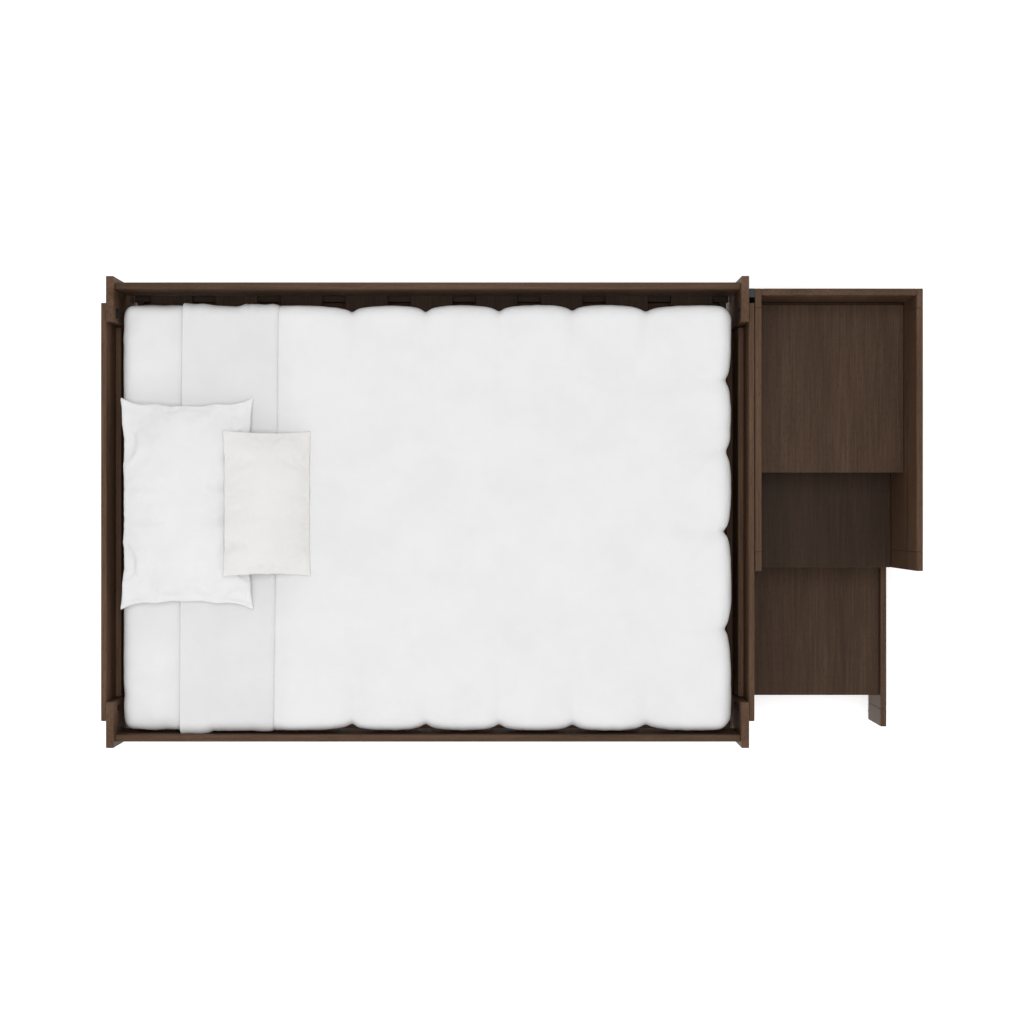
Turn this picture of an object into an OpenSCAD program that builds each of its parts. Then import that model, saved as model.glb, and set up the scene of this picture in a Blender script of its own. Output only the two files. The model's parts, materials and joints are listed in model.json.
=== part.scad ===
// Side-folding wall bed with a stepped storage unit at its foot end.
// Frame: +X along the bed towards the steps, +Y towards the wall, +Z up,
// origin at the floor, under the middle of the whole object.

/* [Overall] */
// Length of the bed and the stepped unit together
overall_x = 2558.4; // [2500:0.1:2620]
// Depth from the wall to the front of the corner posts
overall_y = 1466; // [1440:1:1480]
// Height of the end boards and the stepped unit
rim_z = 770; // [740:1:780]

/* [Bed frame] */
// Distance from the bed's centre to the inner face of a corner post
post_in = 974.5; // [970:0.5:978]
// Thickness of a corner post board
post_t = 24; // [22:0.5:24]
// Width of a corner post board
post_w = 142; // [120:1:146]
// Height of the corner posts
post_z = 785; // [775:1:800]
// Thickness of the long rails
rail_t = 21; // [18:1:24]
// Height of the long rails
rail_h = 177; // [150:1:180]
// Thickness of the end boards
strip_t = 17; // [15:1:17]
// Height of the end boards
strip_h = 190; // [150:1:195]

/* [Mattress deck] */
// Height of the slat tops above the floor
deck_z = 505; // [500:1:520]
// Number of slats
slat_count = 9; // [7:1:9]
// Width of a slat
slat_w = 138; // [100:1:150]
// Thickness of a slat
slat_t = 18; // [15:1:20]

/* [Fold] */
// Height of the fold axis above the floor
pivot_z = 740; // [735:1:742]
// Distance of the fold axis from the wall
pivot_back = 112; // [108:1:114]
// Radius of the pivot pins
pivot_r = 8; // [6:0.5:8]
// Height of the fold-in legs
leg_z = 430; // [425:1:430]

/* [Stepped unit] */
// Thickness of the side panels
side_t = 20; // [18:1:22]
// Depth of the tall part, measured from its back
tall_d = 879.8; // [860:0.1:890]
// Height of the low part of the side panels
low_z = 219; // [210:1:230]
// Rise from one tread to the next
rise = 195; // [190:1:198]
// Thickness of the treads
tread_t = 22; // [18:1:25]
// Width of the stiles, the upright borders of a side panel
stile_w = 60; // [50:1:70]

/* [Hidden] */
$fn = 48;
wood = [0.36, 0.28, 0.23];
wood_dark = [0.30, 0.23, 0.19];
steel = [0.60, 0.61, 0.63];
black = [0.06, 0.06, 0.06];
linen = [0.93, 0.93, 0.93];

chamfer = 1.5;
glide_z = 4;
glide_r = 10;
run_gap = 0.05;
wall_y = overall_y / 2;
post_out = post_in + post_t;
strip_in = post_out + 1.5;
strip_out = strip_in + strip_t;
bed_cx = -overall_x / 2 + strip_out;
rail_y = 705;
rail_top = rim_z - 5;
strip_half_y = 651;
fold_y = wall_y - pivot_back;
cleat_hole_r = 4;
cleat_span_x = 1600;
cleat_span_z = 60;
cleat_z = 480;
cleat_h = 100;
cleat_t = 21;
deck_half_x = 962;
deck_half_y = wall_y - cleat_t - 4;
frame_h = 39;
frame_top = deck_z - slat_t;
frame_z = frame_top - frame_h;
panel_t = 15;
panel_z = frame_z - panel_t;
deck_rail_t = 22;
slat_pitch = (2 * deck_half_x - slat_w - 90) / (slat_count - 1);
leg_gap = 0.5;
leg_axis_x = post_in - 5;
leg_axis_z = leg_z + leg_gap / 2;
leg_hinge_y = -630;
knuckle_r = 4.5;
knuckle_len = 20;
knuckle_gap = 0.3;
hinge_pin_r = 2.5;
leaf_t = 3;
unit_x0 = bed_cx + strip_out + 2;
unit_x1 = overall_x / 2;
unit_back = 695.8;
unit_front = unit_back - tall_d;
low_front = -wall_y;
back_t = 21;
tread_x0 = unit_x0 + side_t;
tread_w = unit_x1 - side_t - tread_x0;
tread_top_front = 127;
tread_low_front = -628;
nosing = 20;
riser_t = 18;
tread_back_gap = 8;
groove = 2.2;
board_rise = 186;

slat_names = [for (i = [1:slat_count]) str("slat_", i)];

// ---- shared shapes ----

// A board with every edge eased, its lowest corner at the origin
module board(x, y, z, c = chamfer) {
    intersection() {
        linear_extrude(z) eased(x, y, c);
        translate([0, y, 0]) rotate([90, 0, 0]) linear_extrude(y) eased(x, z, c);
        rotate([90, 0, 90]) linear_extrude(x) eased(y, z, c);
    }
}

// A rectangle with its four corners cut off
module eased(x, y, c) {
    polygon([[c, 0], [x - c, 0], [x, c], [x, y - c], [x - c, y], [c, y], [0, y - c], [0, c]]);
}

// Places children about the bed's centre, mirrored for the left end
module at_end(side) {
    translate([bed_cx, 0, 0]) {
        if (side < 0) {
            mirror([1, 0, 0]) children();
        } else {
            children();
        }
    }
}

// A cylinder along +X from x0 to x1
module rod_x(x0, x1, r, y, z) {
    translate([x0, y, z]) rotate([0, 90, 0]) cylinder(h = x1 - x0, r = r);
}

// A cylinder along +Y from y0 to y1
module rod_y(y0, y1, r, x, z) {
    translate([x, y0, z]) rotate([-90, 0, 0]) cylinder(h = y1 - y0, r = r);
}

// A square bar turned on edge, which cuts a V-groove along Z, Y or X
module v_bar_z(x, y, z0, z1) {
    translate([x, y, z0]) rotate([0, 0, 45]) translate([-groove / 2, -groove / 2, 0])
        cube([groove, groove, z1 - z0]);
}

module v_bar_y(x, y0, y1, z) {
    translate([x, y0, z]) rotate([0, 45, 0]) translate([-groove / 2, 0, -groove / 2])
        cube([groove, y1 - y0, groove]);
}

module v_bar_x(x0, x1, y, z) {
    translate([x0, y, z]) rotate([45, 0, 0]) translate([0, -groove / 2, -groove / 2])
        cube([x1 - x0, groove, groove]);
}

// ---- fixed frame ----

// Countersunk bolts that hold a long rail between two posts, drawn for one end
rail_bolt_r = 4;
rail_bolt_head_r = 8;
rail_bolt_head_t = 4;
rail_bolt_len = 60;
rail_bolt_inset = 45;

module rail_bolt(y, z) {
    rod_x(post_out - rail_bolt_len, post_out - rail_bolt_head_t, rail_bolt_r, y, z);
    translate([post_out - rail_bolt_head_t, y, z]) rotate([0, 90, 0])
        cylinder(h = rail_bolt_head_t, r1 = rail_bolt_r, r2 = rail_bolt_head_r);
}

module rail_bolt_pair(y) {
    for (z = [rail_top - rail_bolt_inset, rail_top - rail_h + rail_bolt_inset]) rail_bolt(y, z);
}

module rear_post(side) {
    color(wood) at_end(side) difference() {
        translate([post_in, wall_y - post_w, glide_z]) board(post_t, post_w, post_z - glide_z);
        rod_x(post_in - 1, post_out + 1, pivot_r, fold_y, pivot_z);
        rod_x(post_out - spring_d - 1, post_out + 1, spring_pocket_r, fold_y, pivot_z);
        rail_bolt_pair(rail_y);
    }
}

module rear_post_left() { rear_post(-1); }

module rear_post_right() { rear_post(1); }

module long_rail(y) {
    color(wood) difference() {
        translate([bed_cx - post_in, y - rail_t / 2, rail_top - rail_h])
            board(2 * post_in, rail_t, rail_h);
        for (side = [-1, 1]) at_end(side) rail_bolt_pair(y);
    }
}

module wall_rail() { long_rail(rail_y); }

module wall_rail_bolts() {
    color(steel) for (side = [-1, 1]) at_end(side) rail_bolt_pair(rail_y);
}

// Board between the rear posts that is screwed to the wall
module wall_cleat() {
    color(wood_dark) difference() {
        translate([bed_cx - post_in, wall_y - cleat_t, cleat_z - cleat_h / 2])
            board(2 * post_in, cleat_t, cleat_h);
        for (x = [-1, 1]) for (z = [-1, 1])
            rod_y(wall_y - cleat_t - 1, wall_y + 1, cleat_hole_r,
                bed_cx + x * cleat_span_x / 2, cleat_z + z * cleat_span_z / 2);
    }
}

// Steel pin with a flat head on the inner face of the post
pin_head_r = 15;
pin_head_t = 4;

module pivot_pin(side) {
    color(steel) at_end(side) {
        rod_x(post_in - 1, strip_out - 1, pivot_r, fold_y, pivot_z);
        rod_x(post_in - pin_head_t, post_in, pin_head_r, fold_y, pivot_z);
    }
}

module pivot_pin_left() { pivot_pin(-1); }

module pivot_pin_right() { pivot_pin(1); }

// Flat spiral spring around the pin, in a pocket of the post
spring_pocket_r = 26;
spring_d = 14;
spring_turns = 3;
spring_in_r = 10;
spring_out_r = 24;
spring_strip = 1.6;
spring_steps = 20;

function spiral_r(t) = spring_in_r + (spring_out_r - spring_in_r) * t;
function spiral_point(t, offset) = [
    (spiral_r(t) + offset) * cos(360 * spring_turns * t),
    (spiral_r(t) + offset) * sin(360 * spring_turns * t)
];

module lift_spring(side) {
    n = spring_turns * spring_steps;
    outer = [for (i = [0:n]) spiral_point(i / n, spring_strip / 2)];
    inner = [for (i = [n:-1:0]) spiral_point(i / n, -spring_strip / 2)];
    color(steel) at_end(side) translate([post_out - spring_d + 0.5, fold_y, pivot_z])
        rotate([0, 90, 0]) linear_extrude(spring_d - 2) polygon(concat(outer, inner));
}

module lift_spring_left() { lift_spring(-1); }

module lift_spring_right() { lift_spring(1); }

// Black block that joins the bed to the stepped unit
module spacer_block() {
    color(black) translate([bed_cx + post_out, 668, 560])
        board(unit_x0 - bed_cx - post_out, 28, rim_z - 560, 1);
}

module floor_glide(x, y) {
    translate([x, y, 0]) cylinder(h = glide_z, r = glide_r);
}

module floor_glides() {
    color(black) {
        for (side = [-1, 1]) at_end(side) for (y = [wall_y - post_w + 20, wall_y - 20])
            floor_glide(post_in + post_t / 2, y);
        for (x = [unit_x0 + side_t / 2, unit_x1 - side_t / 2])
            for (y = [low_front + 30, unit_front + 30, unit_back - 30]) floor_glide(x, y);
    }
}

// ---- stepped unit ----

// Side panel of stiles and grooved boards: x is its left face, y0 to y1 its depth
module grooved_side(x, y0, y1, top, stiles) {
    color(wood) difference() {
        translate([x, y0, glide_z]) board(side_t, y1 - y0, top - glide_z);
        for (y = stiles) {
            for (face = [x, x + side_t]) v_bar_z(face, y, glide_z - 1, top + 1);
            v_bar_x(x - 1, x + side_t + 1, y, top);
        }
        for (z = [top - 160:-board_rise:glide_z + 40])
            for (face = [x, x + side_t]) v_bar_y(face, stiles[0], stiles[1], z);
    }
}

module tall_side(x) {
    grooved_side(x, unit_front, unit_back, rim_z, [unit_front + stile_w, unit_back - stile_w]);
}

module low_side(x) {
    grooved_side(x, low_front, unit_front, low_z, [low_front + stile_w, unit_front - 1]);
}

module step_side_left_tall() { tall_side(unit_x0); }

module step_side_right_tall() { tall_side(unit_x1 - side_t); }

module step_side_left_low() { low_side(unit_x0); }

module step_side_right_low() { low_side(unit_x1 - side_t); }

// Back panel, with a ledger that carries the rear edge of the top tread
ledger_t = 20;
ledger_h = 40;

module step_back() {
    color(wood) {
        translate([tread_x0, unit_back - back_t, glide_z]) board(tread_w, back_t, rim_z - glide_z);
        translate([tread_x0, unit_back - back_t - ledger_t, 3 * rise - tread_t - ledger_h])
            board(tread_w, ledger_t, ledger_h);
    }
}

// A tread whose front edge is at y0 and whose top is at z
module tread(y0, y1, z) {
    color(wood_dark) translate([tread_x0, y0, z - tread_t]) board(tread_w, y1 - y0, tread_t, 2);
}

module tread_top() { tread(tread_top_front, unit_back - back_t - tread_back_gap, 3 * rise); }

module tread_mid() { tread(unit_front, tread_top_front + nosing + riser_t, 2 * rise); }

module tread_low() { tread(tread_low_front, unit_front + nosing + riser_t, rise); }

// An upright board under the front of a tread
module riser(tread_front, z0, z1) {
    color(wood_dark) translate([tread_x0, tread_front + nosing, z0]) board(tread_w, riser_t, z1 - z0);
}

module riser_top() { riser(tread_top_front, 2 * rise, 3 * rise - tread_t); }

module riser_mid() { riser(unit_front, rise, 2 * rise - tread_t); }

module riser_low() { riser(tread_low_front, glide_z, rise - tread_t); }

// ---- folding frame ----

end_bolt_r = 4;
end_bolt_head_r = 9;
end_bolt_head_t = 3;

module end_board_bolt_pair() {
    for (z = [rim_z - 50, rim_z - strip_h + 50]) {
        rod_x(post_in, strip_out - 4, end_bolt_r, -615, z);
        rod_x(post_in - end_bolt_head_t, post_in, end_bolt_head_r, -615, z);
    }
}

module end_board(side) {
    color(wood) at_end(side) difference() {
        translate([strip_in, -strip_half_y, rim_z - strip_h])
            board(strip_t, 2 * strip_half_y, strip_h);
        rod_x(strip_in - 1, strip_out + 1, bush_r, fold_y, pivot_z);
        end_board_bolt_pair();
    }
}

module end_board_left() { end_board(-1); }

module end_board_right() { end_board(1); }

module front_post(side) {
    color(wood) at_end(side) {
        difference() {
            translate([post_in, -wall_y, leg_z + leg_gap])
                board(post_t, post_w, post_z - leg_z - leg_gap);
            rail_bolt_pair(-rail_y);
            end_board_bolt_pair();
        }
        // Packing pads that fill the gap to the end board
        for (z = [rim_z - 50, rim_z - strip_h + 50]) difference() {
            rod_x(post_out, strip_in, 16, -615, z);
            rod_x(post_out - 1, strip_in + 1, end_bolt_r, -615, z);
        }
    }
}

module front_post_left() { front_post(-1); }

module front_post_right() { front_post(1); }

module front_rail() { long_rail(-rail_y); }

module front_rail_bolts() {
    color(steel) for (side = [-1, 1]) at_end(side) rail_bolt_pair(-rail_y);
}

module end_board_bolts() {
    color(steel) for (side = [-1, 1]) at_end(side) end_board_bolt_pair();
}

bush_r = 12;
bush_flange_r = 18;
bush_flange_t = 1.1;

module pivot_bush(side) {
    color("goldenrod") at_end(side) difference() {
        union() {
            rod_x(strip_in, strip_out, bush_r, fold_y, pivot_z);
            rod_x(strip_in - bush_flange_t, strip_in, bush_flange_r, fold_y, pivot_z);
        }
        rod_x(strip_in - 3, strip_out + 1, pivot_r + run_gap, fold_y, pivot_z);
    }
}

module pivot_bush_left() { pivot_bush(-1); }

module pivot_bush_right() { pivot_bush(1); }

module deck_end(side) {
    color(wood_dark) at_end(side)
        translate([deck_half_x - deck_rail_t, -deck_half_y + deck_rail_t, frame_z])
            board(deck_rail_t, 2 * (deck_half_y - deck_rail_t), frame_h, 1);
}

module deck_end_left() { deck_end(-1); }

module deck_end_right() { deck_end(1); }

// The front rail of the deck runs on to the posts, the rear one stops just short of them
rear_rail_gap = 4.5;

module deck_rail_front() {
    color(wood_dark) translate([bed_cx - post_in, -deck_half_y, frame_z])
        board(2 * post_in, deck_rail_t, frame_h, 1);
}

module deck_rail_rear() {
    half_x = post_in - rear_rail_gap;
    color(wood_dark) translate([bed_cx - half_x, deck_half_y - deck_rail_t, frame_z])
        board(2 * half_x, deck_rail_t, frame_h, 1);
}

// Boards that hang the deck from the end boards, each with a block between it and the deck
apron_t = 18;
apron_top = 640;
apron_half_y = wall_y - post_w - 3;

module deck_aprons() {
    color(wood_dark) for (side = [-1, 1]) at_end(side) {
        translate([strip_in - apron_t, -apron_half_y, frame_z])
            board(apron_t, 2 * apron_half_y, apron_top - frame_z);
        translate([deck_half_x, -apron_half_y, frame_z])
            board(strip_in - apron_t - deck_half_x, 2 * apron_half_y, deck_z - frame_z);
    }
}

module slat(i) {
    x = bed_cx + (i - (slat_count + 1) / 2) * slat_pitch;
    color(wood_dark) translate([x - slat_w / 2, -deck_half_y, frame_top])
        board(slat_w, 2 * deck_half_y, slat_t, 2);
}

// Underside of the deck, which is the front when the bed is closed
module face_panel() {
    color(wood) difference() {
        translate([bed_cx - deck_half_x, -deck_half_y, panel_z])
            board(2 * deck_half_x, 2 * deck_half_y, panel_t, 1);
        for (x = [-1, 1]) v_bar_y(bed_cx + x * deck_half_x / 3, -deck_half_y - 1, deck_half_y + 1, panel_z);
    }
}

handle_x = 250;
handle_y = -640;
handle_r = 5;
handle_len = 160;
handle_drop = 28;

module pull_handle(x) {
    z = panel_z - handle_drop;
    rod_x(x - handle_len / 2, x + handle_len / 2, handle_r, handle_y, z);
    for (end = [-1, 1]) translate([x + end * (handle_len / 2 - 20), handle_y, z])
        cylinder(h = handle_drop, r = handle_r);
}

module pull_handles() {
    color(black) for (side = [-1, 1]) pull_handle(bed_cx + side * handle_x);
}

// ---- fold-in legs ----

// One knuckle of the leg hinge, k = -1, 0 or 1 along the axis
module knuckle(k, r) {
    y = leg_hinge_y + k * knuckle_len;
    rod_y(y - knuckle_len / 2 + knuckle_gap / 2, y + knuckle_len / 2 - knuckle_gap / 2,
        r, leg_axis_x, leg_axis_z);
}

// A strap from knuckle k to the leaf, up for the deck and down for the leg
module knuckle_arm(k, up) {
    y = leg_hinge_y + k * knuckle_len;
    translate([post_in - leaf_t, y - knuckle_len / 2 + knuckle_gap / 2,
        up ? leg_axis_z : leg_axis_z - 6.5])
        cube([leaf_t, knuckle_len - knuckle_gap, 6.5]);
}

module leaf_plate(z0) {
    translate([post_in - leaf_t, leg_hinge_y - 1.5 * knuckle_len, z0])
        cube([leaf_t, 3 * knuckle_len, 50]);
}

module leg_hinge(side) {
    color(steel) at_end(side) {
        difference() {
            union() {
                for (k = [-1, 1]) knuckle(k, knuckle_r);
                for (k = [-1, 1]) knuckle_arm(k, true);
                leaf_plate(leg_axis_z + 6.5);
            }
            rod_y(leg_hinge_y - 40, leg_hinge_y + 40, hinge_pin_r, leg_axis_x, leg_axis_z);
        }
        rod_y(leg_hinge_y - 1.5 * knuckle_len, leg_hinge_y + 1.5 * knuckle_len,
            hinge_pin_r, leg_axis_x, leg_axis_z);
    }
}

module leg_hinge_left() { leg_hinge(-1); }

module leg_hinge_right() { leg_hinge(1); }

module leg_leaf(side) {
    color(steel) at_end(side) difference() {
        union() {
            knuckle(0, knuckle_r);
            knuckle_arm(0, false);
            leaf_plate(leg_axis_z - 56.5);
        }
        rod_y(leg_hinge_y - 40, leg_hinge_y + 40, hinge_pin_r + run_gap, leg_axis_x, leg_axis_z);
    }
}

module leg_leaf_left() { leg_leaf(-1); }

module leg_leaf_right() { leg_leaf(1); }

module leg(side) {
    color(wood) at_end(side)
        translate([post_in, -wall_y, glide_z]) board(post_t, post_w, leg_z - glide_z);
}

module leg_left() { leg(-1); }

module leg_right() { leg(1); }

module leg_glide(side) {
    color(black) at_end(side) for (y = [-wall_y + 20, -wall_y + post_w - 20])
        floor_glide(post_in + post_t / 2, y);
}

module leg_glide_left() { leg_glide(-1); }

module leg_glide_right() { leg_glide(1); }

// ---- bedding ----

bed_y0 = -683;
bed_y1 = 648;
bed_x = 952;
mattress_inset = 14;
mattress_top = 735;
cover_t = 33;
cover_drop = 110;
band_x0 = -768;
band_x1 = -466;
band_t = 15;

// A block with round upright corners
module soft_block(x0, x1, y0, y1, z0, z1, r) {
    translate([0, 0, z0]) linear_extrude(z1 - z0) union() {
        translate([x0 + r, y0]) square([x1 - x0 - 2 * r, y1 - y0]);
        translate([x0, y0 + r]) square([x1 - x0, y1 - y0 - 2 * r]);
        for (x = [x0 + r, x1 - r]) for (y = [y0 + r, y1 - r]) translate([x, y]) circle(r);
    }
}

module mattress() {
    m = mattress_inset;
    color(linen) translate([bed_cx, 0, 0])
        soft_block(-bed_x + m, bed_x - m, bed_y0 + m, bed_y1 - m, deck_z + 0.5, mattress_top, 50);
}

// Top cover that hangs a little way down the two long sides and the foot
module comforter() {
    m = mattress_inset - 1;
    color(linen) translate([bed_cx, 0, 0]) difference() {
        soft_block(band_x1 + 1, bed_x, bed_y0, bed_y1, mattress_top - cover_drop,
            mattress_top + cover_t, 30);
        soft_block(band_x1 - 60, bed_x - m, bed_y0 + m, bed_y1 - m,
            mattress_top - cover_drop - 1, mattress_top + 0.5, 50);
    }
}

// Folded band across the bed between the pillow and the cover
module blanket_band() {
    color([0.89, 0.89, 0.89]) translate([bed_cx, 0, 0]) difference() {
        translate([band_x0, bed_y0 + 2, mattress_top - cover_drop])
            cube([band_x1 - band_x0, bed_y1 - bed_y0 - 4, cover_drop + band_t]);
        translate([band_x0 - 1, bed_y0 + mattress_inset - 1, mattress_top - cover_drop - 1])
            cube([band_x1 - band_x0 + 2, bed_y1 - bed_y0 - 2 * mattress_inset + 2, cover_drop + 1.5]);
    }
}

// A pillow: full outline at mid height, smaller above and below
module pad(length, width, height, edge, ease) {
    hull() {
        translate([-length / 2, -width / 2, -edge / 2]) cube([length, width, edge]);
        translate([-length / 2 + ease, -width / 2 + ease, -height / 2])
            cube([length - 2 * ease, width - 2 * ease, height]);
    }
}

pillow_x = -751;
pillow_y = 26;
pillow_h = 120;
cushion_x = -496;
cushion_z = 844;
cushion_lean = 30;

module pillow() {
    color(linen) translate([bed_cx + pillow_x, pillow_y, mattress_top + band_t + 2 + pillow_h / 2])
        pad(415, 664, pillow_h, 14, 90);
}

// The cushion leans with its head side on the edge of the pillow
module cushion() {
    color([0.92, 0.90, 0.87]) translate([bed_cx + cushion_x, pillow_y, cushion_z])
        rotate([0, cushion_lean, 0]) pad(276, 463, 84, 12, 70);
}

rear_post_left();
rear_post_right();
wall_rail();
wall_cleat();
wall_rail_bolts();
pivot_pin_left();
pivot_pin_right();
lift_spring_left();
lift_spring_right();
spacer_block();
floor_glides();
step_side_left_tall();
step_side_left_low();
step_side_right_tall();
step_side_right_low();
step_back();
tread_top();
tread_mid();
tread_low();
riser_top();
riser_mid();
riser_low();
end_board_left();
end_board_right();
front_post_left();
front_post_right();
front_rail();
front_rail_bolts();
end_board_bolts();
pivot_bush_left();
pivot_bush_right();
deck_end_left();
deck_end_right();
deck_rail_front();
deck_rail_rear();
deck_aprons();
face_panel();
pull_handles();
leg_hinge_left();
leg_hinge_right();
leg_left();
leg_right();
leg_leaf_left();
leg_leaf_right();
leg_glide_left();
leg_glide_right();
mattress();
comforter();
blanket_band();
pillow();
cushion();
for (i = [1:slat_count]) slat(i);
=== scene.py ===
import json
import math

import bpy
import numpy as np
from mathutils import Matrix, Vector, noise
from mathutils.bvhtree import BVHTree


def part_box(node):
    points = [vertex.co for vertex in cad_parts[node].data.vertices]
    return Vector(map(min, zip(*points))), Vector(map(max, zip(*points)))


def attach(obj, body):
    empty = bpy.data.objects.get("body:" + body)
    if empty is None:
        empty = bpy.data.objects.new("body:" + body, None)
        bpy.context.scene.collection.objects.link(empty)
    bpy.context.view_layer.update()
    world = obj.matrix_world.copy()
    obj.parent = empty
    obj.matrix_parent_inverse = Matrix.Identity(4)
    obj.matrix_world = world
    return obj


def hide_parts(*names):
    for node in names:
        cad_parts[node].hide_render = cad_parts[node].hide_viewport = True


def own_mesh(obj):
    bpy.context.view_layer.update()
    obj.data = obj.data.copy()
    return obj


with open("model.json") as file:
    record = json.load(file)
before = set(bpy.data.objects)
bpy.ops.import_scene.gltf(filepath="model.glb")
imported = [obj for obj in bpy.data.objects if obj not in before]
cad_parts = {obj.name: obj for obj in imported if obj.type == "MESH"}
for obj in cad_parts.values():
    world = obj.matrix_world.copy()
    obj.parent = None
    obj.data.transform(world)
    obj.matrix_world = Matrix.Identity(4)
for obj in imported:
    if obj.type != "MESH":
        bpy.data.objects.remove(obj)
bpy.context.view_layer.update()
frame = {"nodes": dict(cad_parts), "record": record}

# Driving values in metres, in the row frame.
CAMERA_HEIGHT = 6.4
LENS_MM = 63.6
SENSOR_MM = 36.0
CELL = 0.012  # spacing of the bedding meshes
PAD_CELL = 0.0095  # spacing of the simulated pillows
CORNER_KNOB = 0.012  # radius of the pillows' corner tips
PRESSURE = 2.0  # of the cloth simulation in the pillows
SIM_FRAMES = 18

MATTRESS_LO, MATTRESS_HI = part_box("mattress")
COVER_LO, COVER_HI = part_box("comforter")
BAND_LO, BAND_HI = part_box("blanket_band")
PILLOW_LO, PILLOW_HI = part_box("pillow")
CUSHION_LO, CUSHION_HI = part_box("cushion")


# ---------------------------------------------------------------- materials

def new_material(name, roughness, colour):
    """A Principled material with its shader node, ready for a procedural tree."""
    material = bpy.data.materials.new(name)
    material.use_nodes = True
    tree = material.node_tree
    tree.nodes.clear()
    output = tree.nodes.new("ShaderNodeOutputMaterial")
    shader = tree.nodes.new("ShaderNodeBsdfPrincipled")
    tree.links.new(shader.outputs["BSDF"], output.inputs["Surface"])
    shader.inputs["Roughness"].default_value = roughness
    shader.inputs["Base Color"].default_value = (*colour, 1)
    return material, tree, shader


def mapped(tree, scale, offset=(0, 0, 0)):
    """Object coordinates in metres, stretched by scale."""
    coordinates = tree.nodes.new("ShaderNodeTexCoord")
    mapping = tree.nodes.new("ShaderNodeMapping")
    mapping.inputs["Scale"].default_value = scale
    mapping.inputs["Location"].default_value = offset
    tree.links.new(coordinates.outputs["Object"], mapping.inputs["Vector"])
    return mapping.outputs["Vector"]


def noise_value(tree, vector, scale=1.0, detail=4.0, roughness=0.6, distortion=0.0):
    """A noise texture's value along a vector."""
    node = tree.nodes.new("ShaderNodeTexNoise")
    node.inputs["Scale"].default_value = scale
    node.inputs["Detail"].default_value = detail
    node.inputs["Roughness"].default_value = roughness
    node.inputs["Distortion"].default_value = distortion
    tree.links.new(vector, node.inputs["Vector"])
    return node.outputs["Fac"]


def ramp(tree, value, stops):
    """A colour ramp of (position, colour) stops."""
    node = tree.nodes.new("ShaderNodeValToRGB")
    elements = node.color_ramp.elements
    while len(elements) < len(stops):
        elements.new(0.5)
    for element, (position, colour) in zip(elements, stops):
        element.position = position
        element.color = (*colour, 1)
    tree.links.new(value, node.inputs["Fac"])
    return node.outputs["Color"]


def math_node(tree, operation, a, b):
    """One Math node; a and b are sockets or numbers."""
    node = tree.nodes.new("ShaderNodeMath")
    node.operation = operation
    for socket, value in zip(node.inputs, (a, b)):
        if isinstance(value, (int, float)):
            socket.default_value = value
        else:
            tree.links.new(value, socket)
    return node.outputs["Value"]


def multiply_colour(tree, colour, factor_colour):
    """Two colours multiplied."""
    node = tree.nodes.new("ShaderNodeMix")
    node.data_type = "RGBA"
    node.blend_type = "MULTIPLY"
    node.inputs["Factor"].default_value = 1.0
    tree.links.new(colour, node.inputs[6])
    tree.links.new(factor_colour, node.inputs[7])
    return node.outputs[2]


def add_bump(tree, shader, height, distance, strength):
    """A bump on the shader from a height value."""
    node = tree.nodes.new("ShaderNodeBump")
    node.inputs["Distance"].default_value = distance
    node.inputs["Strength"].default_value = strength
    tree.links.new(height, node.inputs["Height"])
    tree.links.new(node.outputs["Normal"], shader.inputs["Normal"])


def grain_scale(axis, along, across):
    """Texture scale with the grain running along one axis."""
    return tuple(along if a == axis else across for a in "XYZ")


def wood(name, axis, tone_and_painted_light, offset):
    """Stained dark-brown wood with its grain along an axis; a factor lightens or darkens the board, for its
    slight own difference in colour and for the painted light and shade given to some boards.
    """
    # The board's colours are scaled by the factor, painted light and shade included.
    dark = (0.058 * tone_and_painted_light, 0.031 * tone_and_painted_light, 0.018 * tone_and_painted_light)
    middle = (0.090 * tone_and_painted_light, 0.050 * tone_and_painted_light, 0.029 * tone_and_painted_light)
    light = (0.126 * tone_and_painted_light, 0.073 * tone_and_painted_light, 0.045 * tone_and_painted_light)
    material, tree, shader = new_material(name, 0.5, middle)
    place = (offset, offset * 1.7, offset * 0.6)
    fibres = noise_value(tree, mapped(tree, grain_scale(axis, 5, 150), place), 1, 7, 0.68, 0.15)
    figure = noise_value(tree, mapped(tree, grain_scale(axis, 0.9, 11), place), 1, 3, 0.55, 0.8)
    pores = noise_value(tree, mapped(tree, grain_scale(axis, 45, 620), place), 1, 2, 0.5)
    mixed = math_node(tree, "ADD", math_node(tree, "MULTIPLY", fibres, 0.62),
                      math_node(tree, "MULTIPLY", figure, 0.38))
    colour = ramp(tree, mixed, [(0.34, dark), (0.5, middle), (0.66, light)])
    pore_tint = ramp(tree, pores, [(0.30, (0.62, 0.60, 0.58)), (0.42, (1, 1, 1))])
    tree.links.new(multiply_colour(tree, colour, pore_tint), shader.inputs["Base Color"])
    rough = math_node(tree, "ADD", math_node(tree, "MULTIPLY", fibres, 0.22), 0.40)
    tree.links.new(rough, shader.inputs["Roughness"])
    height = math_node(tree, "ADD", math_node(tree, "MULTIPLY", fibres, 0.6),
                       math_node(tree, "MULTIPLY", pores, 0.4))
    add_bump(tree, shader, height, 0.0006, 0.35)
    shader.inputs["Specular IOR Level"].default_value = 0.12
    return material


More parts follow.
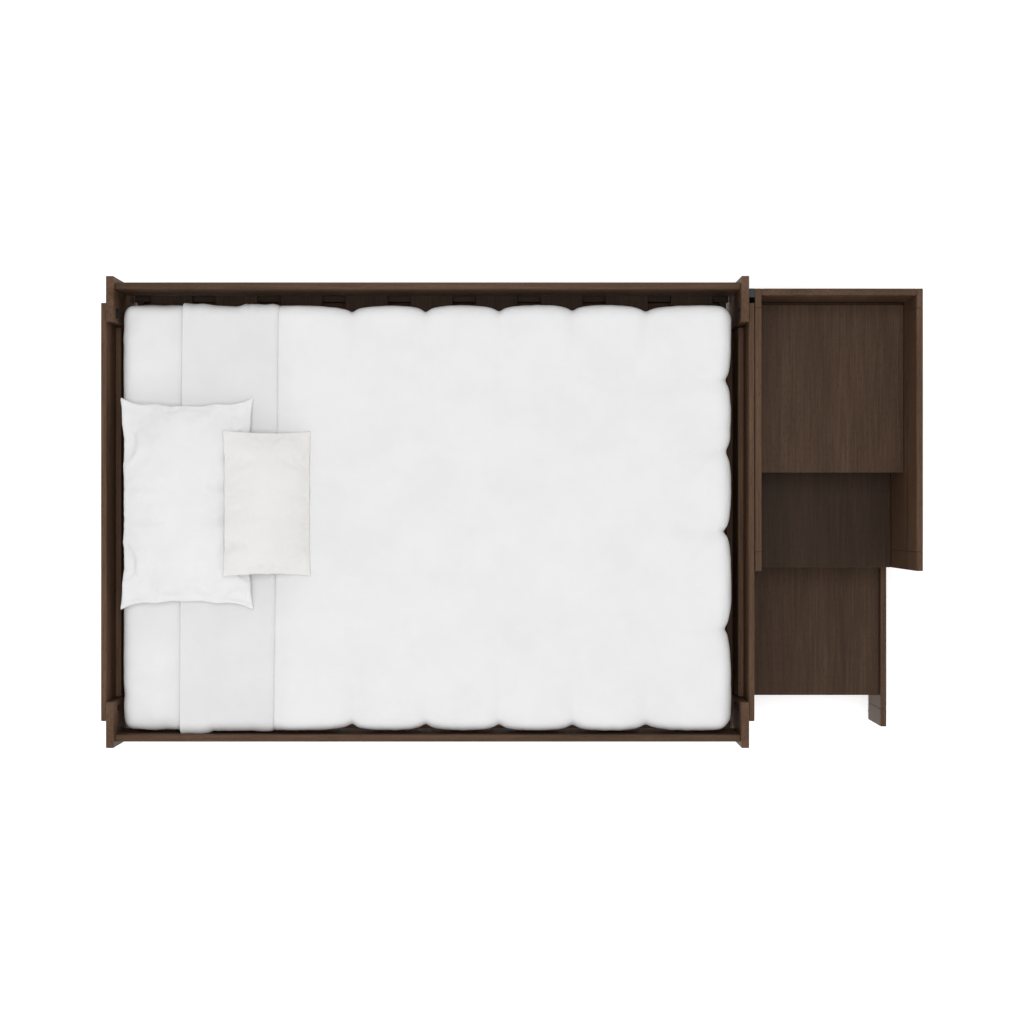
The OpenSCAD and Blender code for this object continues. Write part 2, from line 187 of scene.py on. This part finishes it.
def cloth(name, colour, thread, crease, sheen):
    """Woven cotton: crossed threads, soft creases and a slight mottling of the colour."""
    material, tree, shader = new_material(name, 0.85, colour)
    threads = []
    for direction in ("X", "Y"):
        wave = tree.nodes.new("ShaderNodeTexWave")
        wave.bands_direction = direction
        wave.inputs["Scale"].default_value = math.tau / (20 * thread)
        wave.inputs["Distortion"].default_value = 0.6
        wave.inputs["Detail"].default_value = 1.0
        tree.links.new(mapped(tree, (1, 1, 1)), wave.inputs["Vector"])
        threads.append(wave.outputs["Fac"])
    weave = math_node(tree, "MULTIPLY", threads[0], threads[1])
    creases = noise_value(tree, mapped(tree, (1, 1.6, 1)), 26, 5, 0.55, 0.4)
    mottle = noise_value(tree, mapped(tree, (1, 1, 1)), 7, 4, 0.6)
    shade = tuple(0.965 * c for c in colour)
    tint = ramp(tree, mottle, [(0.35, shade), (0.62, colour)])
    thread_tint = ramp(tree, weave, [(0.0, (0.965, 0.965, 0.965)), (0.5, (1, 1, 1))])
    tree.links.new(multiply_colour(tree, tint, thread_tint), shader.inputs["Base Color"])
    height = math_node(tree, "ADD", math_node(tree, "MULTIPLY", weave, 0.12),
                       math_node(tree, "MULTIPLY", creases, crease))
    add_bump(tree, shader, height, 0.004, 0.35)
    shader.inputs["Sheen Weight"].default_value = sheen
    shader.inputs["Sheen Roughness"].default_value = 0.5
    shader.inputs["Specular IOR Level"].default_value = 0.25
    return material


def metal(name, colour, roughness):
    """Plated metal with fine drawn lines and faint clouding."""
    material, tree, shader = new_material(name, roughness, colour)
    lines = noise_value(tree, mapped(tree, (60, 60, 900)), 1, 3, 0.6)
    clouds = noise_value(tree, mapped(tree, (1, 1, 1)), 35, 3, 0.5)
    tint = ramp(tree, clouds, [(0.3, tuple(0.82 * c for c in colour)), (0.7, colour)])
    tree.links.new(tint, shader.inputs["Base Color"])
    rough = math_node(tree, "ADD", math_node(tree, "MULTIPLY", lines, 0.2), roughness - 0.1)
    tree.links.new(rough, shader.inputs["Roughness"])
    add_bump(tree, shader, lines, 0.0002, 0.2)
    shader.inputs["Metallic"].default_value = 1.0
    return material


def moulded(name, colour):
    """Matt black moulded plastic with a fine spark texture."""
    material, tree, shader = new_material(name, 0.55, colour)
    grainy = noise_value(tree, mapped(tree, (1, 1, 1)), 900, 2, 0.5)
    soft = noise_value(tree, mapped(tree, (1, 1, 1)), 30, 2, 0.5)
    tint = ramp(tree, soft, [(0.3, tuple(0.7 * c for c in colour)), (0.7, colour)])
    tree.links.new(tint, shader.inputs["Base Color"])
    rough = math_node(tree, "ADD", math_node(tree, "MULTIPLY", grainy, 0.2), 0.45)
    tree.links.new(rough, shader.inputs["Roughness"])
    add_bump(tree, shader, grainy, 0.0003, 0.3)
    return material


WHITE = cloth("white_cotton", (0.84, 0.84, 0.845), 0.0011, 0.5, 0.15)
SHEET_WHITE = cloth("sheet_cotton", (0.87, 0.87, 0.872), 0.0008, 0.35, 0.10)
GREY = cloth("band_cotton", (0.80, 0.80, 0.802), 0.0012, 0.45, 0.12)
PILLOW_WHITE = cloth("pillow_cotton", (0.845, 0.845, 0.85), 0.0009, 0.5, 0.15)
CREAM = cloth("cushion_cotton", (0.812, 0.803, 0.787), 0.0016, 0.4, 0.18)
STEEL = metal("zinc_steel", (0.52, 0.53, 0.55), 0.38)
BRONZE = metal("sintered_bronze", (0.55, 0.36, 0.17), 0.45)
DARK_STEEL = metal("blackened_steel", (0.035, 0.030, 0.027), 0.5)
BLACK = moulded("black_moulding", (0.012, 0.012, 0.013))


# ---------------------------------------------------------------- the CAD nodes' finishes

SLOT_OF = {s["node"]: s["material_slot"] for s in frame["record"]["subparts"]}
PLAIN = {"steel": STEEL, "dark_steel": DARK_STEEL, "bronze": BRONZE, "black": BLACK,
         "mattress_cloth": SHEET_WHITE, "cover_cloth": WHITE, "band_cloth": GREY,
         "pillow_cloth": PILLOW_WHITE, "cushion_cloth": CREAM}

# How much darker or lighter each board is than the plain stain: the treads are darkened with painted shade of
# their recess between the side panels, most on the middle tread, and the end boards, posts, legs and deck
# aprons are lightened with painted light on their faces.
PAINTED_LIGHT_TONES = {"tread_top": 0.78, "tread_mid": 0.44, "tread_low": 0.72, "deck_aprons": 1.15}
for painted_lit_board in ("end_board", "rear_post", "front_post", "leg"):
    PAINTED_LIGHT_TONES[painted_lit_board + "_left"] = PAINTED_LIGHT_TONES[painted_lit_board + "_right"] = 1.15


def grain_axis(node):
    """The axis a board's grain runs along: its longest side, or front to back on treads and aprons."""
    if node.startswith(("tread", "deck_aprons")):
        return "Y"
    low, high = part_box(node)
    return "XYZ"[max(range(3), key=lambda i: high[i] - low[i])]


def finish_nodes():
    """Gives every CAD node its material; each board gets its own cut of the veneer, the treads painted shade,
    and the posts, legs, end boards and aprons painted light.
    """
    for i, (name, node) in enumerate(sorted(frame["nodes"].items())):
        kind = SLOT_OF[name]
        if kind in PLAIN:
            material = PLAIN[kind]
        else:
            # Painted shade and painted light from the table above, times a slight difference from board to
            # board.
            tone_and_painted_light = PAINTED_LIGHT_TONES.get(name, 1.0 if kind == "dark_wood" else 0.5) * (1 + 0.05 * math.sin(2.4 * i))
            material = wood("wood_" + name, grain_axis(name), tone_and_painted_light, 0.37 * i)
        node.data.materials.clear()
        node.data.materials.append(material)


finish_nodes()


# ---------------------------------------------------------------- mesh helpers

def smoothstep(low, high, x):
    t = min(1.0, max(0.0, (x - low) / (high - low)))
    return t * t * (3 - 2 * t)


def ripple(x, y, z, size):
    """Smooth noise from -1 to 1 with features of about size metres."""
    return noise.noise(Vector((x / size, y / size, z / size)))


def mesh_object(name, points, faces, material):
    """A smooth-shaded mesh object in the scene."""
    mesh = bpy.data.meshes.new(name)
    mesh.from_pydata([tuple(p) for p in points], [], faces)
    mesh.validate()
    for polygon in mesh.polygons:
        polygon.use_smooth = True
    obj = bpy.data.objects.new(name, mesh)
    bpy.context.scene.collection.objects.link(obj)
    obj.data.materials.append(material)
    return obj


def apply_modifiers(obj):
    """Replaces the mesh by its evaluated one, so no modifier is left."""
    bpy.context.view_layer.update()
    graph = bpy.context.evaluated_depsgraph_get()
    mesh = bpy.data.meshes.new_from_object(obj.evaluated_get(graph))
    obj.modifiers.clear()
    obj.data = mesh
    for polygon in mesh.polygons:
        polygon.use_smooth = True
    return obj


def thicken(obj, thickness):
    """Gives a surface a thickness on its inner side, then subdivides it."""
    solid = obj.modifiers.new("solid", "SOLIDIFY")
    solid.thickness = thickness
    solid.offset = -1
    return smoothed(obj)


def smoothed(obj):
    """Adds one level of subdivision and applies every modifier."""
    smooth = obj.modifiers.new("smooth", "SUBSURF")
    smooth.levels = 1
    smooth.render_levels = 1
    return apply_modifiers(obj)


def grid_faces(across, down):
    """Quads of a grid of points stored row by row."""
    return [
        (r * across + c, r * across + c + 1, (r + 1) * across + c + 1, (r + 1) * across + c)
        for r in range(down - 1) for c in range(across - 1)
    ]


# ---------------------------------------------------------------- bedding that lies over the mattress

class Drape:
    """Maps a flat cloth onto a block with rounded edges: flat on top, over the edge, then down."""

    def __init__(self, low, high, top, bend, corner, open_head=True):
        self.x0 = -9.0 if open_head else low.x + corner
        self.x1 = high.x - corner
        self.y0 = low.y + corner
        self.y1 = high.y - corner
        self.top = top
        self.bend = bend
        self.corner = corner

    def reach(self, fall):
        """How far the flat cloth extends past the core to hang down by fall."""
        return self.corner - self.bend + self.bend * math.pi / 2 + fall - self.bend

    def at(self, p, q):
        """The place, outward normal, and distance past the core of the flat point (p, q)."""
        cx = min(max(p, self.x0), self.x1)
        cy = min(max(q, self.y0), self.y1)
        dx, dy = p - cx, q - cy
        distance = (abs(dx) ** 3 + abs(dy) ** 3) ** (1 / 3)
        side = Vector((dx / distance, dy / distance, 0)) if distance > 1e-9 else Vector((0, 0, 0))
        past = distance - (self.corner - self.bend)
        if past <= 0:
            return Vector((p, q, self.top)), Vector((0, 0, 1)), side, distance
        turn = past / self.bend
        if turn < math.pi / 2:
            out = self.corner - self.bend + self.bend * math.sin(turn)
            z = self.top - self.bend * (1 - math.cos(turn))
            normal = side.normalized() * math.sin(turn) + Vector((0, 0, math.cos(turn)))
        else:
            out = self.corner
            z = self.top - self.bend - (past - self.bend * math.pi / 2)
            normal = side.normalized()
        core = Vector((cx, cy, 0))
        return core + side * out + Vector((0, 0, z)), normal, side, distance


def scallop(position, seams, power=2.6):
    """0 at a seam and 1 in the middle of a puff, with broad tops and tight notches."""
    for a, b in zip(seams, seams[1:]):
        if a <= position <= b:
            t = abs(2 * (position - a) / (b - a) - 1)
            return (1 - t ** power) ** (1 / power)
    return 1.0


def nearest(position, seams):
    return min(abs(position - s) for s in seams)


COVER_PITCH = 0.2295
COVER_SEAMS_X = [COVER_LO.x - 0.12]
COVER_SEAMS_X += [COVER_LO.x + COVER_PITCH * i for i in range(1, 6)] + [COVER_HI.x + 0.04]
FOOT_SHARES = (-0.03, 0.24, 0.468, 0.656, 0.823, 1.03)
COVER_SEAMS_Y = [COVER_LO.y + s * (COVER_HI.y - COVER_LO.y) for s in FOOT_SHARES]
NOTCH = 0.024
COVER_SKIN = 0.011


def slant(q):
    """How far the band's foot edge runs off square: nothing at the rear, most at the front."""
    return 0.0075 * (q / 0.66 - 1)


def comforter_point(drape, p, q):
    """A point of the quilted cover's outer surface."""
    place, normal, side, distance = drape.at(p, q)
    fx, fy = scallop(p, COVER_SEAMS_X), scallop(q, COVER_SEAMS_Y)
    seam_x, seam_y = nearest(p, COVER_SEAMS_X), nearest(q, COVER_SEAMS_Y)
    edge = smoothstep(0.0, drape.corner, distance)
    pull = NOTCH * edge * ((1 - fx) * side.y ** 2 + (1 - fy) * side.x ** 2)
    near_y = math.exp(-max(0.0, min(q - COVER_LO.y, COVER_HI.y - q)) / 0.08)
    near_x = math.exp(-max(0.0, COVER_HI.x - p) / 0.08)
    pinch = (near_y * (0.013 * math.exp(-(seam_x / 0.026) ** 2) + 0.006 * math.exp(-(seam_x / 0.009) ** 2))
             + near_x * (0.013 * math.exp(-(seam_y / 0.026) ** 2) + 0.006 * math.exp(-(seam_y / 0.009) ** 2)))
    puff = 0.004 * (near_y * fx + near_x * fy)
    soft = 0.0026 * ripple(p, q, 1.3, 0.28) + 0.0014 * ripple(p, q * 1.6, 4.1, 0.09)
    tight = 0.0018 * ripple(p * 1.5, q, 7.7, 0.035) * (0.2 + 0.8 * edge)
    from_head = p - COVER_LO.x
    head = 0.008 * (1 - smoothstep(0.0, 0.05, from_head)) * max(0.0, normal.z)
    place.x += slant(q) * (1 - smoothstep(0.0, 0.25, from_head)) - 0.003
    place.y -= 0.001
    return place + normal * (puff - pull - (1 - edge) * pinch + soft + tight - head - 0.003)


def make_comforter():
    drape = Drape(COVER_LO, COVER_HI, COVER_HI.z - 0.006, 0.040, 0.052)
    reach = drape.reach(COVER_HI.z - COVER_LO.z - 0.006)
    columns = int((drape.x1 + reach - COVER_LO.x) / CELL)
    rows = int((drape.y1 - drape.y0 + 2 * reach) / CELL)
    points = []
    for r in range(rows):
        q = drape.y0 - reach + (drape.y1 - drape.y0 + 2 * reach) * r / (rows - 1)
        for c in range(columns):
            p = COVER_LO.x + (drape.x1 + reach - COVER_LO.x) * c / (columns - 1)
            points.append(comforter_point(drape, p, q))
    obj = mesh_object("quilted_comforter", points, grid_faces(columns, rows), WHITE)
    return thicken(obj, COVER_SKIN)


BAND_OVERHANG = 0.012
BAND_TUCK = 0.016  # how far the band runs on under the cover
BAND_SKIN = 0.0035


def band_point(drape, p, q):
    """A point of the band, one layer of cloth: smooth on top, pleated where it goes over the edges."""
    place, normal, _, distance = drape.at(p, q)
    edge = smoothstep(0.0, drape.corner * 1.4, distance)
    near = math.exp(-max(0.0, min(q - BAND_LO.y, BAND_HI.y - q)) / 0.07)
    fold = ripple(p, 0.25 * q + (3.0 if q > 0 else 0.0), 2.2, 0.062)
    pleat = max(edge, 0.45 * near) * (0.016 * fold - 0.006 * math.exp(-(fold / 0.07) ** 2))
    soft = 0.0028 * ripple(p * 0.6, q, 9.4, 0.20) + 0.0012 * ripple(p, q * 0.5, 5.2, 0.05)
    hem = 0.0018 * math.exp(-((p - BAND_LO.x) / 0.012) ** 2)
    tuck = smoothstep(BAND_HI.x - 0.006, BAND_HI.x + 0.006, p)
    across = (p - BAND_LO.x) / (BAND_HI.x - BAND_LO.x)
    place.x += slant(q) * (0.6 + 0.4 * across) + 0.002 * ripple(0.0, q, 3.3, 0.30)
    loose = (1 - tuck) * (pleat + soft + hem + BAND_OVERHANG * edge)
    return place + normal * (loose - tuck * 0.012)


def make_band():
    top = BAND_HI.z - 0.001
    drape = Drape(BAND_LO, BAND_HI, top, 0.034, 0.042)
    drape.x1 = 9.0
    reach = drape.reach(top - BAND_LO.z)
    width = BAND_HI.x + BAND_TUCK - BAND_LO.x
    length = drape.y1 - drape.y0 + 2 * reach
    columns, rows = int(width / CELL * 1.4), int(length / CELL)
    points = []
    for r in range(rows):
        q = drape.y0 - reach + length * r / (rows - 1)
        for c in range(columns):
            points.append(band_point(drape, BAND_LO.x + width * c / (columns - 1), q))
    obj = mesh_object("folded_band", points, grid_faces(columns, rows), GREY)
    return thicken(obj, BAND_SKIN), (width, length)


def make_mattress():
    """The mattress in its fitted sheet: crowned sides, soft corners, gathers near the corners."""
    low = MATTRESS_LO - Vector((0.018, 0.011, 0))
    high = MATTRESS_HI + Vector((-0.016, 0.011, 0))
    centre, half = (low + high) / 2, (high - low) / 2
    bevel = 0.038
    steps = (int(2 * half.x / 0.02), int(2 * half.y / 0.02), int(2 * half.z / 0.02))
    points, index, faces = [], {}, []

    def vertex(i, j, k):
        key = (i, j, k)
        if key not in index:
            index[key] = len(points)
            points.append(mattress_point([2 * v / n - 1 for v, n in zip(key, steps)], centre, half, bevel))
        return index[key]

    for axis in range(3):
        a, b = [n for n in range(3) if n != axis]
        for end in (0, steps[axis]):
            for u in range(steps[a]):
                for v in range(steps[b]):
                    quad = []
                    for du, dv in ((0, 0), (1, 0), (1, 1), (0, 1)):
                        key = [0, 0, 0]
                        key[axis], key[a], key[b] = end, u + du, v + dv
                        quad.append(vertex(*key))
                    outward = (end > 0) != (axis == 1)
                    faces.append(tuple(quad if outward else reversed(quad)))
    obj = mesh_object("mattress_in_sheet", points, faces, SHEET_WHITE)
    return smoothed(obj)


def mattress_point(unit, centre, half, bevel):
    place = Vector([u * h for u, h in zip(unit, half)])
    core = Vector([min(max(v, -(h - bevel)), h - bevel) for v, h in zip(place, half)])
    push = place - core
    if push.length > 1e-9:
        place = core + push * bevel / sum(abs(v) ** 3 for v in push) ** (1 / 3)
    x, y, z = place
    crown = 0.010 * (1 - (z / half.z) ** 2)
    top = smoothstep(half.z - 0.05, half.z, z)
    covered = smoothstep(BAND_LO.x - centre.x, BAND_HI.x - centre.x, x)
    slim = 1 - 0.022 * covered / half.y
    corner = smoothstep(0.55, 1.0, abs(x) / half.x) * smoothstep(0.55, 1.0, abs(y) / half.y)
    gathers = 0.009 * corner * ripple(x, y, z, 0.036) + 0.0025 * ripple(x, y, z, 0.16)
    crown_x = crown * math.copysign(smoothstep(0.97, 1.0, abs(x) / half.x), x)
    crown_y = crown * math.copysign(smoothstep(0.97, 1.0, abs(y) / half.y), y)
    outward = Vector((x / half.x, y / half.y, top)).normalized()
    place = Vector((x + crown_x, (y + crown_y) * slim, z)) + outward * gathers
    return place + centre


# ---------------------------------------------------------------- pillows

def pad_shell(name, length, width, material):
    """A flat closed case: two sheets that share their rim, slightly parted."""
    columns, rows = int(length / PAD_CELL), int(width / PAD_CELL)
    points, faces, index = [], [], {}
    for side in (1, -1):
        for r in range(rows + 1):
            for c in range(columns + 1):
                rim = r in (0, rows) or c in (0, columns)
                key = (0 if rim else side, r, c)
                if key in index:
                    continue
                x, y = c / columns - 0.5, r / rows - 0.5
                bulge = math.cos(math.pi * x) * math.cos(math.pi * y)
                index[key] = len(points)
                points.append((x * length, y * width, 0 if rim else side * (0.004 + 0.02 * bulge)))

    def corner(side, r, c):
        return index[(0 if r in (0, rows) or c in (0, columns) else side, r, c)]

    for side in (1, -1):
        for r in range(rows):
            for c in range(columns):
                quad = [corner(side, r, c), corner(side, r, c + 1),
                        corner(side, r + 1, c + 1), corner(side, r + 1, c)]
                faces.append(tuple(quad if side > 0 else reversed(quad)))
    rim = [corner(1, 0, c) for c in range(columns)] + [corner(1, r, columns) for r in range(rows)]
    rim += [corner(1, rows, c) for c in range(columns, 0, -1)] + [corner(1, r, 0) for r in range(rows, 0, -1)]
    return mesh_object(name, points, faces, material), rim


def puff(obj, length, width, height, hollow_x, hollow_y, flange):
    """Rounds the flat case out: a full middle, thin rims and sides drawn in between the corners."""
    for v in obj.data.vertices:
        u, w = 2 * v.co.x / length, 2 * v.co.y / width
        inner = min(1.0, abs(u) / (1 - 2 * flange / length))
        crown = max(0.0, (1 - inner ** 4) * (1 - w ** 4)) ** 0.6
        to_corner = math.hypot(length / 2 * (1 - abs(u)), width / 2 * (1 - abs(w)))
        v.co.x *= 1 - hollow_x * (1 - w ** 4)
        v.co.y *= 1 - hollow_y * (1 - u ** 4)
        if abs(v.co.z) > 1e-6:
            knob = 0.011 * math.exp(-(to_corner / 0.024) ** 2)
            v.co.z = math.copysign(max(height / 2 * crown, knob) + 0.0025, v.co.z)


def inflate(obj, rim, growth):
    """Cloth simulation: the rim is held and the cloth, a little too large, fills out in creases."""
    held = obj.vertex_groups.new(name="held")
    held.add(rim, 1.0, "REPLACE")
    modifier = obj.modifiers.new("cloth", "CLOTH")
    settings = modifier.settings
    settings.quality = 7
    settings.mass = 0.2
    settings.tension_stiffness = 30
    settings.compression_stiffness = 30
    settings.shear_stiffness = 10
    settings.bending_stiffness = 0.05
    settings.vertex_group_mass = "held"
    settings.shrink_min = -growth
    settings.use_pressure = True
    settings.uniform_pressure_force = PRESSURE
    settings.effector_weights.gravity = 0
    modifier.collision_settings.use_collision = False
    scene = bpy.context.scene
    for step in range(1, SIM_FRAMES + 1):
        scene.frame_set(step)
    apply_modifiers(obj)
    obj.vertex_groups.clear()
    scene.frame_set(1)


def coordinates(obj):
    values = np.empty(len(obj.data.vertices) * 3)
    obj.data.vertices.foreach_get("co", values)
    return values.reshape(-1, 3)


def set_coordinates(obj, values):
    obj.data.vertices.foreach_set("co", np.ascontiguousarray(values).ravel())
    obj.data.update()


def round_corner(row, half_length, half_width):
    """Draws a corner's tip in to a small round knob."""
    over_x = abs(row[0]) - (half_length - CORNER_KNOB)
    over_y = abs(row[1]) - (half_width - CORNER_KNOB)
    reach = math.hypot(max(over_x, 0.0), max(over_y, 0.0))
    if over_x > 0 and over_y > 0 and reach > CORNER_KNOB:
        row[0] -= math.copysign(over_x * (1 - CORNER_KNOB / reach), row[0])
        row[1] -= math.copysign(over_y * (1 - CORNER_KNOB / reach), row[1])


def make_pad(name, size, material, hollows, growth, droop):
    """A pillow of the given length, width and height, centred on the origin, its underside flatter."""
    length, width, height = size
    obj, rim = pad_shell(name, length, width, material)
    puff(obj, length, width, height, *hollows)
    inflate(obj, rim, growth)
    co = coordinates(obj)
    co -= (co.max(0) + co.min(0)) / 2
    co *= np.array(size) / (co.max(0) - co.min(0))
    co[:, 2] = np.where(co[:, 2] < 0, co[:, 2] * 0.62, co[:, 2] * 1.1)
    reach = (np.abs(co[:, 0]) / (length / 2)) ** 3 + (np.abs(co[:, 1]) / (width / 2)) ** 3
    co[:, 2] -= droop * reach
    for row in co:
        round_corner(row, length / 2, width / 2)
        x, y, z = row
        from_end = width / 2 - abs(y)
        from_side = length / 2 - abs(x)
        end = abs(ripple(x, 0.25 * y + (2.0 if y > 0 else 0.0), 1.7, 0.045)) * math.exp(-from_end / 0.055)
        side = abs(ripple(0.25 * x + (5.0 if x > 0 else 0.0), y, 8.1, 0.05)) * math.exp(-from_side / 0.045)
        inside = smoothstep(0.0, 0.02, min(from_end, from_side))
        row[2] += 0.0018 * ripple(x, y, z, 0.07) - math.copysign(0.017, z) * inside * (end + side)
    set_coordinates(obj, co)
    return smoothed(obj)


def tree_of(objects):
    """One search tree over several objects that sit at the origin."""
    points, faces = [], []
    for obj in objects:
        base = len(points)
        points += [v.co.copy() for v in obj.data.vertices]
        faces += [tuple(base + i for i in p.vertices) for p in obj.data.polygons]
    return BVHTree.FromPolygons(points, faces)


def height_under(tree, x, y):
    """The top of what lies at a place, or None."""
    hit = tree.ray_cast(Vector((x, y, 2.0)), Vector((0, 0, -1)))
    return None if hit[0] is None else hit[0].z


def gap_below(co, tree):
    """The smallest drop from points to what is under them."""
    smallest = 2.0
    for x, y, z in co[::3]:
        ground = height_under(tree, x, y)
        if ground is not None:
            smallest = min(smallest, z - ground)
    return smallest


def settle(obj, tree, centre, angles, sink):
    """Lays the pad down at the lean that brings it lowest, then lets its underside sink in."""
    rest = coordinates(obj)
    best = None
    for angle in angles:
        turn = np.array(Matrix.Rotation(math.radians(angle), 3, "Y"))
        turned = rest @ turn.T + np.array([centre[0], centre[1], 1.5])
        drop = gap_below(turned, tree)
        turned[:, 2] -= drop + sink
        if best is None or drop > best[0]:
            best = (drop, turned)
    co = best[1]
    set_coordinates(obj, co)
    for vertex, row in zip(obj.data.vertices, co):
        ground = height_under(tree, row[0], row[1])
        if ground is not None:
            row[2] = max(row[2], ground + (0.0045 if vertex.normal.z > 0 else 0.0012))
    set_coordinates(obj, co)


comforter = make_comforter()
band, band_flat = make_band()
mattress = make_mattress()

pillow_middle = (PILLOW_LO + PILLOW_HI) / 2
pillow = make_pad("bed_pillow", (0.424, 0.674, 0.125), PILLOW_WHITE, (0.055, 0.085, 0.0), 0.08, 0.010)
settle(pillow, tree_of([mattress, band, comforter]), (pillow_middle.x, pillow_middle.y), [0], 0.010)

cushion_middle = (CUSHION_LO + CUSHION_HI) / 2
cushion = make_pad("small_cushion", (0.280, 0.466, 0.095), CREAM, (0.03, 0.045, 0.006), 0.06, 0.004)
settle(cushion, tree_of([mattress, band, comforter, pillow]),
       (cushion_middle.x, cushion_middle.y), range(8, 34, 2), 0.004)

for piece, body, slot, node in (
        (comforter, "deck", "cover_cloth", "comforter"),
        (band, "deck", "band_cloth", "blanket_band"),
        (mattress, "deck", "mattress_cloth", "mattress"),
        (pillow, "pillow", "pillow_cloth", "pillow"),
        (cushion, "cushion", "cushion_cloth", "cushion")):
    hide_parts(node)
    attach(piece, body)

# Each pad is given a mesh of its own.
for piece in (pillow, cushion):
    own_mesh(piece)


# ---------------------------------------------------------------- floor, light and camera

FLOOR_FLAT = 12.0  # radius of the flat part, and of the curve round it
FLOOR_GLOW = 0.50
WORLD_GLOW = 0.42
TOP_WATTS = 246
FRONT_WATTS = 54


def make_floor():
    """A pale studio floor that curves up all round, far from the bed."""
    turns = [math.radians(a) for a in range(6, 91, 6)]
    radii = [0.001, 4, 8, FLOOR_FLAT] + [FLOOR_FLAT * (1 + math.sin(a)) for a in turns]
    heights = [0, 0, 0, 0] + [FLOOR_FLAT * (1 - math.cos(a)) for a in turns]
    sides = 96
    points = [(r * math.cos(math.tau * i / sides), r * math.sin(math.tau * i / sides), h - 0.0005)
              for r, h in zip(radii, heights) for i in range(sides)]
    faces = []
    for k in range(len(radii) - 1):
        for i in range(sides):
            j = (i + 1) % sides
            faces.append((k * sides + i, k * sides + j, (k + 1) * sides + j, (k + 1) * sides + i))
    material, _, shader = new_material("pale_floor", 0.9, (0.86, 0.86, 0.86))
    shader.inputs["Specular IOR Level"].default_value = 0.1
    shader.inputs["Emission Color"].default_value = (1, 1, 1, 1)
    shader.inputs["Emission Strength"].default_value = FLOOR_GLOW
    mesh_object("floor", points, faces, material)


def area_light(name, place, target, size, power):
    light = bpy.data.lights.new(name, "AREA")
    light.shape = "SQUARE"
    light.size = size
    light.energy = power
    obj = bpy.data.objects.new(name, light)
    bpy.context.scene.collection.objects.link(obj)
    obj.location = place
    direction = Vector(target) - Vector(place)
    obj.rotation_euler = direction.to_track_quat("-Z", "Y").to_euler()


def make_light():
    world = bpy.data.worlds.new("studio")
    world.use_nodes = True
    background = world.node_tree.nodes["Background"]
    background.inputs["Color"].default_value = (1, 1, 1, 1)
    background.inputs["Strength"].default_value = WORLD_GLOW
    bpy.context.scene.world = world
    area_light("top_softbox", (0.0, 0.2, 7.5), (0, 0, 0), 5.0, TOP_WATTS)
    area_light("front_softbox", (-2.5, -5.5, 4.5), (0, 0, 0.5), 4.0, FRONT_WATTS)
    bpy.context.scene.view_settings.view_transform = "Standard"


def make_camera():
    data = bpy.data.cameras.new("camera")
    data.sensor_width = SENSOR_MM
    data.lens = LENS_MM
    data.clip_end = 60
    obj = bpy.data.objects.new("camera", data)
    bpy.context.scene.collection.objects.link(obj)
    obj.location = (0, 0, CAMERA_HEIGHT)
    obj.rotation_euler = (0, 0, 0)
    bpy.context.scene.camera = obj


make_floor()
make_light()
make_camera()
